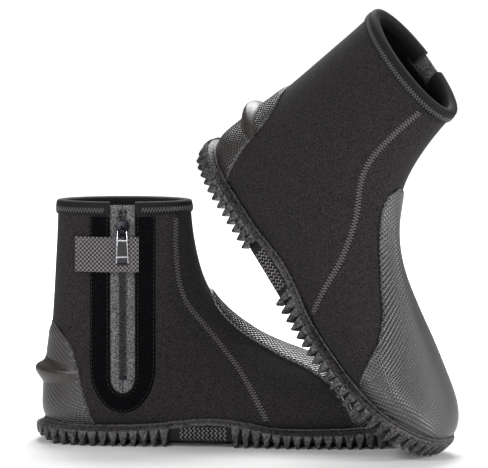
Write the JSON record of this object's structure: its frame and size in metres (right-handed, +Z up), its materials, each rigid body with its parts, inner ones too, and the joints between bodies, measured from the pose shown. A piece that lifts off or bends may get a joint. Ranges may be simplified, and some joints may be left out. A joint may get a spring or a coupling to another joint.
{
  "type": "neoprene dive boots",
  "caption": "Pair of ankle-high neoprene water boots with side zips, closure tabs, rubber toe and heel guards and lugged soles; one stands and the other leans on it.",
  "frame": {"origin": "centre of the bottom of the pair's bounding box, on the ground", "axes": "+Z up; the standing boot points heel to toe along +X with its zip side facing -Y; the other boot leans on it from -Y, toe down"},
  "size_m": [0.3134, 0.1772, 0.3245],
  "materials": {
    "rubber": "matt moulded",
    "guard": "fine diamond texture",
    "neoprene": "knitted nylon face",
    "binding": "folded woven tape",
    "plush": "loop pile",
    "tape": "woven",
    "webbing": "twill webbing",
    "coil": "moulded",
    "metal": "dark plated",
    "foam": "faced foam"
  },
  "bodies": {
    "left_boot": {"left_outsole": "rubber", "left_sole_panel": "neoprene", "left_insole": "foam", "left_vamp_panel": "neoprene", "left_lateral_quarter": "neoprene", "left_medial_quarter": "neoprene", "left_toe_guard": "guard", "left_heel_guard": "guard", "left_strap_ledge": "guard", "left_collar_binding": "binding", "left_zip_surround": "plush", "left_zip_gusset": "neoprene", "left_zip_tape_front": "tape", "left_zip_tape_rear": "tape", "left_zip_coil_front": "coil", "left_zip_coil_rear": "coil", "left_zip_top_stop_front": "metal", "left_zip_top_stop_rear": "metal", "left_zip_bottom_stop": "metal"},
    "left_slider": {"left_zip_slider": "metal"},
    "left_puller": {"left_zip_puller": "metal"},
    "left_tab": {"left_closure_tab": "webbing", "left_tab_hook_patch": "plush"},
    "right_boot": {"right_outsole": "rubber", "right_sole_panel": "neoprene", "right_insole": "foam", "right_vamp_panel": "neoprene", "right_lateral_quarter": "neoprene", "right_medial_quarter": "neoprene", "right_toe_guard": "guard", "right_heel_guard": "guard", "right_strap_ledge": "guard", "right_collar_binding": "binding", "right_zip_surround": "plush", "right_zip_gusset": "neoprene", "right_zip_tape_front": "tape", "right_zip_tape_rear": "tape", "right_zip_coil_front": "coil", "right_zip_coil_rear": "coil", "right_zip_top_stop_front": "metal", "right_zip_top_stop_rear": "metal", "right_zip_bottom_stop": "metal"},
    "right_slider": {"right_zip_slider": "metal"},
    "right_puller": {"right_zip_puller": "metal"},
    "right_tab": {"right_closure_tab": "webbing", "right_tab_hook_patch": "plush"}
  },
  "joints": [
    {"name": "left_zip_slide", "type": "slide", "parent": "left_boot", "child": "left_slider", "axis": [0, -0.0573, -0.9984], "range_m": [0, 0.101], "deforming": ["left_closure_tab", "left_tab_hook_patch"]},
    {"name": "left_puller_hinge", "type": "hinge", "parent": "left_slider", "child": "left_puller", "pos_m": [-0.08995, 0.00284, 0.15989], "axis": [-1, 0, 0], "range_deg": [0, 165]},
    {"name": "left_tab_peel", "type": "hinge", "parent": "left_boot", "child": "left_tab", "pos_m": [-0.07805, 0.00624, 0.142], "axis": [0, 0.0573, 0.9984], "range_deg": [0, 150], "deforming": ["left_closure_tab", "left_tab_hook_patch"]},
    {"name": "right_zip_slide", "type": "slide", "parent": "right_boot", "child": "right_slider", "axis": [-0.6202, 0.4131, -0.6669], "range_m": [0, 0.101], "deforming": ["right_closure_tab", "right_tab_hook_patch"]},
    {"name": "right_puller_hinge", "type": "hinge", "parent": "right_slider", "child": "right_puller", "pos_m": [0.13003, 0.00543, 0.27042], "axis": [0.5126, -0.4301, -0.7431], "range_deg": [0, 165]},
    {"name": "right_tab_peel", "type": "hinge", "parent": "right_boot", "child": "right_tab", "pos_m": [0.12255, 0.00406, 0.25004], "axis": [-0.6202, 0.4131, -0.6669], "range_deg": [0, 150], "deforming": ["right_closure_tab", "right_tab_hook_patch"]},
    {"name": "right_boot_lift", "type": "slide", "parent": "left_boot", "child": "right_boot", "axis": [0, 0, 1], "range_m": [0, 0.3]}
  ]
}
